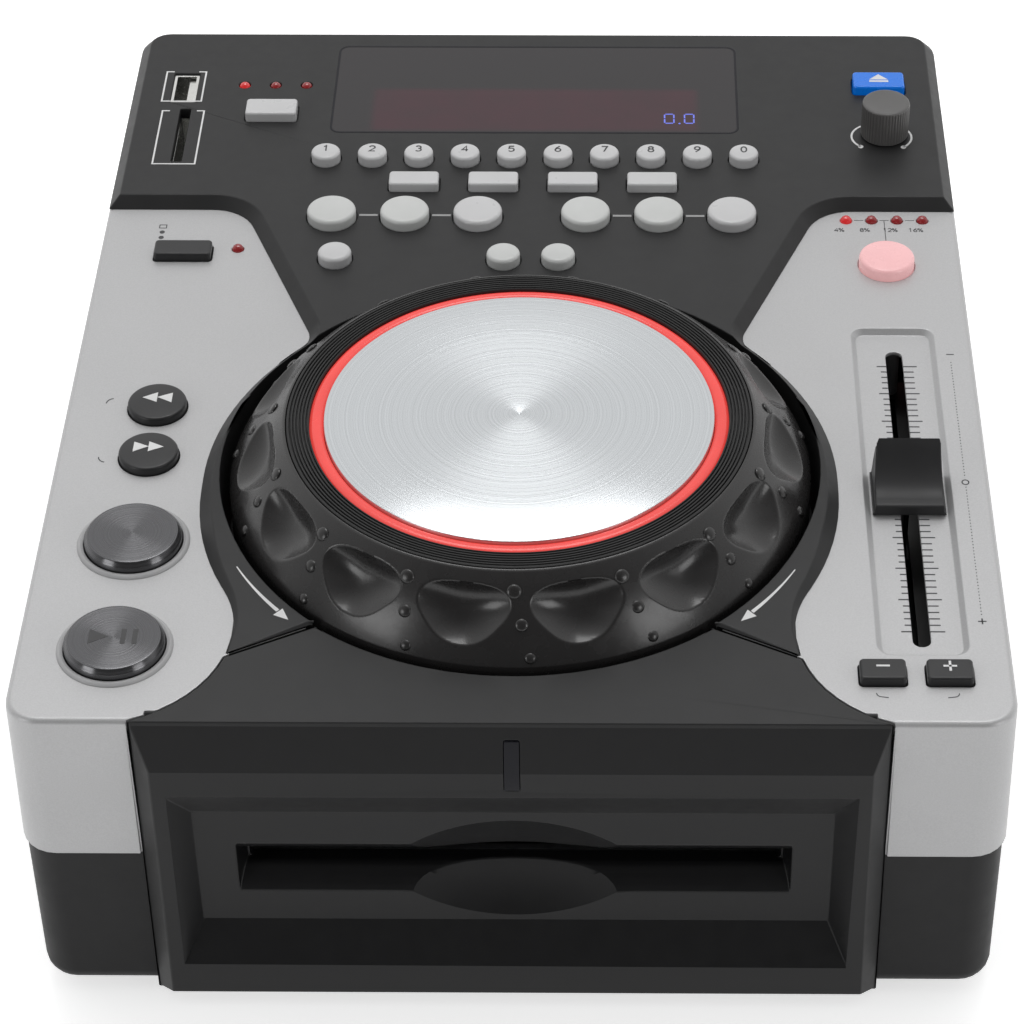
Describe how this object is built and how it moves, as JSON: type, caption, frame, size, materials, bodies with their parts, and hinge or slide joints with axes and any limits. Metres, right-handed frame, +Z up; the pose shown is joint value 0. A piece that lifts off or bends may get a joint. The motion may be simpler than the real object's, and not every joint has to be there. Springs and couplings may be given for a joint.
{
  "type": "tabletop dj cd player",
  "caption": "Tabletop player for compact discs with a dimpled jog wheel, a pitch fader, sprung buttons, a knob, a display window and a front disc slot",
  "frame": {"origin": "centre of the overall box, on the plane the feet rest on", "axes": "+X to the user's right, +Y to the back away from the user, +Z up"},
  "size_m": [0.2232, 0.2892, 0.1056],
  "materials": {
    "tray_plastic": "black moulded plastic with a fine grain",
    "silver_paint": "satin silver paint",
    "panel_plastic": "satin black plastic",
    "bezel_plastic": "satin black plastic",
    "light_pipe": "dark clear plastic, unlit",
    "smoked_window": "smoked acrylic",
    "circuit_board": "green solder mask",
    "dark_metal": "radially brushed dark metal finish",
    "red_lights": "clear red light caps",
    "sheet_steel": "plain steel",
    "socket_shell": "bright plated shell",
    "socket_plastic": "black moulded plastic",
    "foot_rubber": "matte rubber",
    "jog_plastic": "dark grey metallic plastic",
    "ring_rubber": "ribbed soft rubber",
    "lit_ring": "translucent plastic lit red from below",
    "spun_aluminium": "spun aluminium with circular turning marks",
    "knob_plastic": "ribbed black plastic",
    "silver_keys": "silver painted plastic",
    "white_keys": "translucent white plastic",
    "blue_key": "translucent blue plastic",
    "pink_key": "translucent plastic lit pink from below",
    "black_keys": "black plastic"
  },
  "bodies": {
    "case": {"base_tray": "tray_plastic", "top_cover": "silver_paint", "control_panel": "panel_plastic", "front_bezel": "bezel_plastic", "slot_light_pipe": "light_pipe", "display_window": "smoked_window", "control_boards": "circuit_board", "button_rings": "silver_paint", "indicator_leds": "red_lights", "main_board": "circuit_board", "loader_frame": "sheet_steel", "fader_body": "sheet_steel", "media_sockets": "socket_shell", "rear_sockets": "socket_plastic", "rubber_feet": "foot_rubber", "case_screws": "sheet_steel", "jog_axle": "sheet_steel"},
    "jog": {"jog_skirt": "jog_plastic", "jog_grip_ring": "ring_rubber", "jog_light_ring": "lit_ring", "jog_disc": "spun_aluminium"},
    "knob": {"track_knob": "knob_plastic"},
    "fader": {"pitch_fader_cap": "black_keys"},
    "roller": {"feed_roller": "ring_rubber"},
    "spindle": {"disc_spindle": "sheet_steel"},
    "sled": {"laser_sled": "tray_plastic"},
    "rocker": {"power_rocker": "socket_plastic"},
    "number_1": {"number_button_1": "silver_keys"},
    "number_2": {"number_button_2": "silver_keys"},
    "number_3": {"number_button_3": "silver_keys"},
    "number_4": {"number_button_4": "silver_keys"},
    "number_5": {"number_button_5": "silver_keys"},
    "number_6": {"number_button_6": "silver_keys"},
    "number_7": {"number_button_7": "silver_keys"},
    "number_8": {"number_button_8": "silver_keys"},
    "number_9": {"number_button_9": "silver_keys"},
    "number_0": {"number_button_0": "silver_keys"},
    "function_1": {"function_button_1": "silver_keys"},
    "function_2": {"function_button_2": "silver_keys"},
    "function_3": {"function_button_3": "silver_keys"},
    "function_4": {"function_button_4": "silver_keys"},
    "loop_a_start": {"loop_a_start_button": "white_keys"},
    "loop_a_end": {"loop_a_end_button": "white_keys"},
    "loop_a_again": {"loop_a_again_button": "silver_keys"},
    "loop_b_start": {"loop_b_start_button": "white_keys"},
    "loop_b_end": {"loop_b_end_button": "white_keys"},
    "loop_b_again": {"loop_b_again_button": "silver_keys"},
    "tap": {"tap_button": "silver_keys"},
    "reverse": {"reverse_button": "white_keys"},
    "brake": {"brake_button": "white_keys"},
    "source": {"source_button": "silver_keys"},
    "eject": {"eject_button": "blue_key"},
    "jog_mode": {"jog_mode_button": "black_keys"},
    "pitch_range": {"pitch_range_button": "pink_key"},
    "search_back": {"search_back_button": "dark_metal"},
    "search_forward": {"search_forward_button": "dark_metal"},
    "cue": {"cue_button": "dark_metal"},
    "play": {"play_button": "dark_metal"},
    "pitch_minus": {"pitch_minus_button": "black_keys"},
    "pitch_plus": {"pitch_plus_button": "black_keys"}
  },
  "joints": [
    {"name": "jog_spin", "type": "hinge", "parent": "case", "child": "jog", "pos_m": [0, -0.05443, 0.1], "axis": [0, 0, 1], "continuous": true},
    {"name": "knob_spin", "type": "hinge", "parent": "case", "child": "knob", "pos_m": [0.0942, 0.08417, 0.095], "axis": [0, 0, 1], "continuous": true},
    {"name": "fader_slide", "type": "slide", "parent": "case", "child": "fader", "axis": [0, 1, 0], "range_m": [-0.047, 0.05]},
    {"name": "roller_spin", "type": "hinge", "parent": "case", "child": "roller", "pos_m": [0, -0.11663, 0.0348], "axis": [1, 0, 0], "continuous": true},
    {"name": "spindle_spin", "type": "hinge", "parent": "case", "child": "spindle", "pos_m": [0, -0.04843, 0.035], "axis": [0, 0, 1], "continuous": true},
    {"name": "sled_slide", "type": "slide", "parent": "case", "child": "sled", "axis": [0, 1, 0], "range_m": [0, 0.034]},
    {"name": "rocker_tip", "type": "hinge", "parent": "case", "child": "rocker", "pos_m": [0.032, 0.13357, 0.02505], "axis": [1, 0, 0], "range_deg": [-10, 10]},
    {"name": "number_1_press", "type": "slide", "parent": "case", "child": "number_1", "axis": [0, 0, -1], "range_m": [0, 0.001], "stiffness_N_per_m": 900},
    {"name": "number_2_press", "type": "slide", "parent": "case", "child": "number_2", "axis": [0, 0, -1], "range_m": [0, 0.001], "stiffness_N_per_m": 900},
    {"name": "number_3_press", "type": "slide", "parent": "case", "child": "number_3", "axis": [0, 0, -1], "range_m": [0, 0.001], "stiffness_N_per_m": 900},
    {"name": "number_4_press", "type": "slide", "parent": "case", "child": "number_4", "axis": [0, 0, -1], "range_m": [0, 0.001], "stiffness_N_per_m": 900},
    {"name": "number_5_press", "type": "slide", "parent": "case", "child": "number_5", "axis": [0, 0, -1], "range_m": [0, 0.001], "stiffness_N_per_m": 900},
    {"name": "number_6_press", "type": "slide", "parent": "case", "child": "number_6", "axis": [0, 0, -1], "range_m": [0, 0.001], "stiffness_N_per_m": 900},
    {"name": "number_7_press", "type": "slide", "parent": "case", "child": "number_7", "axis": [0, 0, -1], "range_m": [0, 0.001], "stiffness_N_per_m": 900},
    {"name": "number_8_press", "type": "slide", "parent": "case", "child": "number_8", "axis": [0, 0, -1], "range_m": [0, 0.001], "stiffness_N_per_m": 900},
    {"name": "number_9_press", "type": "slide", "parent": "case", "child": "number_9", "axis": [0, 0, -1], "range_m": [0, 0.001], "stiffness_N_per_m": 900},
    {"name": "number_0_press", "type": "slide", "parent": "case", "child": "number_0", "axis": [0, 0, -1], "range_m": [0, 0.001], "stiffness_N_per_m": 900},
    {"name": "function_1_press", "type": "slide", "parent": "case", "child": "function_1", "axis": [0, 0, -1], "range_m": [0, 0.001], "stiffness_N_per_m": 900},
    {"name": "function_2_press", "type": "slide", "parent": "case", "child": "function_2", "axis": [0, 0, -1], "range_m": [0, 0.001], "stiffness_N_per_m": 900},
    {"name": "function_3_press", "type": "slide", "parent": "case", "child": "function_3", "axis": [0, 0, -1], "range_m": [0, 0.001], "stiffness_N_per_m": 900},
    {"name": "function_4_press", "type": "slide", "parent": "case", "child": "function_4", "axis": [0, 0, -1], "range_m": [0, 0.001], "stiffness_N_per_m": 900},
    {"name": "loop_a_start_press", "type": "slide", "parent": "case", "child": "loop_a_start", "axis": [0, 0, -1], "range_m": [0, 0.001], "stiffness_N_per_m": 900},
    {"name": "loop_a_end_press", "type": "slide", "parent": "case", "child": "loop_a_end", "axis": [0, 0, -1], "range_m": [0, 0.001], "stiffness_N_per_m": 900},
    {"name": "loop_a_again_press", "type": "slide", "parent": "case", "child": "loop_a_again", "axis": [0, 0, -1], "range_m": [0, 0.001], "stiffness_N_per_m": 900},
    {"name": "loop_b_start_press", "type": "slide", "parent": "case", "child": "loop_b_start", "axis": [0, 0, -1], "range_m": [0, 0.001], "stiffness_N_per_m": 900},
    {"name": "loop_b_end_press", "type": "slide", "parent": "case", "child": "loop_b_end", "axis": [0, 0, -1], "range_m": [0, 0.001], "stiffness_N_per_m": 900},
    {"name": "loop_b_again_press", "type": "slide", "parent": "case", "child": "loop_b_again", "axis": [0, 0, -1], "range_m": [0, 0.001], "stiffness_N_per_m": 900},
    {"name": "tap_press", "type": "slide", "parent": "case", "child": "tap", "axis": [0, 0, -1], "range_m": [0, 0.001], "stiffness_N_per_m": 900},
    {"name": "reverse_press", "type": "slide", "parent": "case", "child": "reverse", "axis": [0, 0, -1], "range_m": [0, 0.001], "stiffness_N_per_m": 900},
    {"name": "brake_press", "type": "slide", "parent": "case", "child": "brake", "axis": [0, 0, -1], "range_m": [0, 0.001], "stiffness_N_per_m": 900},
    {"name": "source_press", "type": "slide", "parent": "case", "child": "source", "axis": [0, 0, -1], "range_m": [0, 0.001], "stiffness_N_per_m": 900},
    {"name": "eject_press", "type": "slide", "parent": "case", "child": "eject", "axis": [0, 0, -1], "range_m": [0, 0.001], "stiffness_N_per_m": 900},
    {"name": "jog_mode_press", "type": "slide", "parent": "case", "child": "jog_mode", "axis": [0, 0, -1], "range_m": [0, 0.001], "stiffness_N_per_m": 900},
    {"name": "pitch_range_press", "type": "slide", "parent": "case", "child": "pitch_range", "axis": [0, 0, -1], "range_m": [0, 0.001], "stiffness_N_per_m": 900},
    {"name": "search_back_press", "type": "slide", "parent": "case", "child": "search_back", "axis": [0, 0, -1], "range_m": [0, 0.001], "stiffness_N_per_m": 900},
    {"name": "search_forward_press", "type": "slide", "parent": "case", "child": "search_forward", "axis": [0, 0, -1], "range_m": [0, 0.001], "stiffness_N_per_m": 900},
    {"name": "cue_press", "type": "slide", "parent": "case", "child": "cue", "axis": [0, 0, -1], "range_m": [0, 0.001], "stiffness_N_per_m": 900},
    {"name": "play_press", "type": "slide", "parent": "case", "child": "play", "axis": [0, 0, -1], "range_m": [0, 0.001], "stiffness_N_per_m": 900},
    {"name": "pitch_minus_press", "type": "slide", "parent": "case", "child": "pitch_minus", "axis": [0, 0, -1], "range_m": [0, 0.001], "stiffness_N_per_m": 900},
    {"name": "pitch_plus_press", "type": "slide", "parent": "case", "child": "pitch_plus", "axis": [0, 0, -1], "range_m": [0, 0.001], "stiffness_N_per_m": 900}
  ]
}
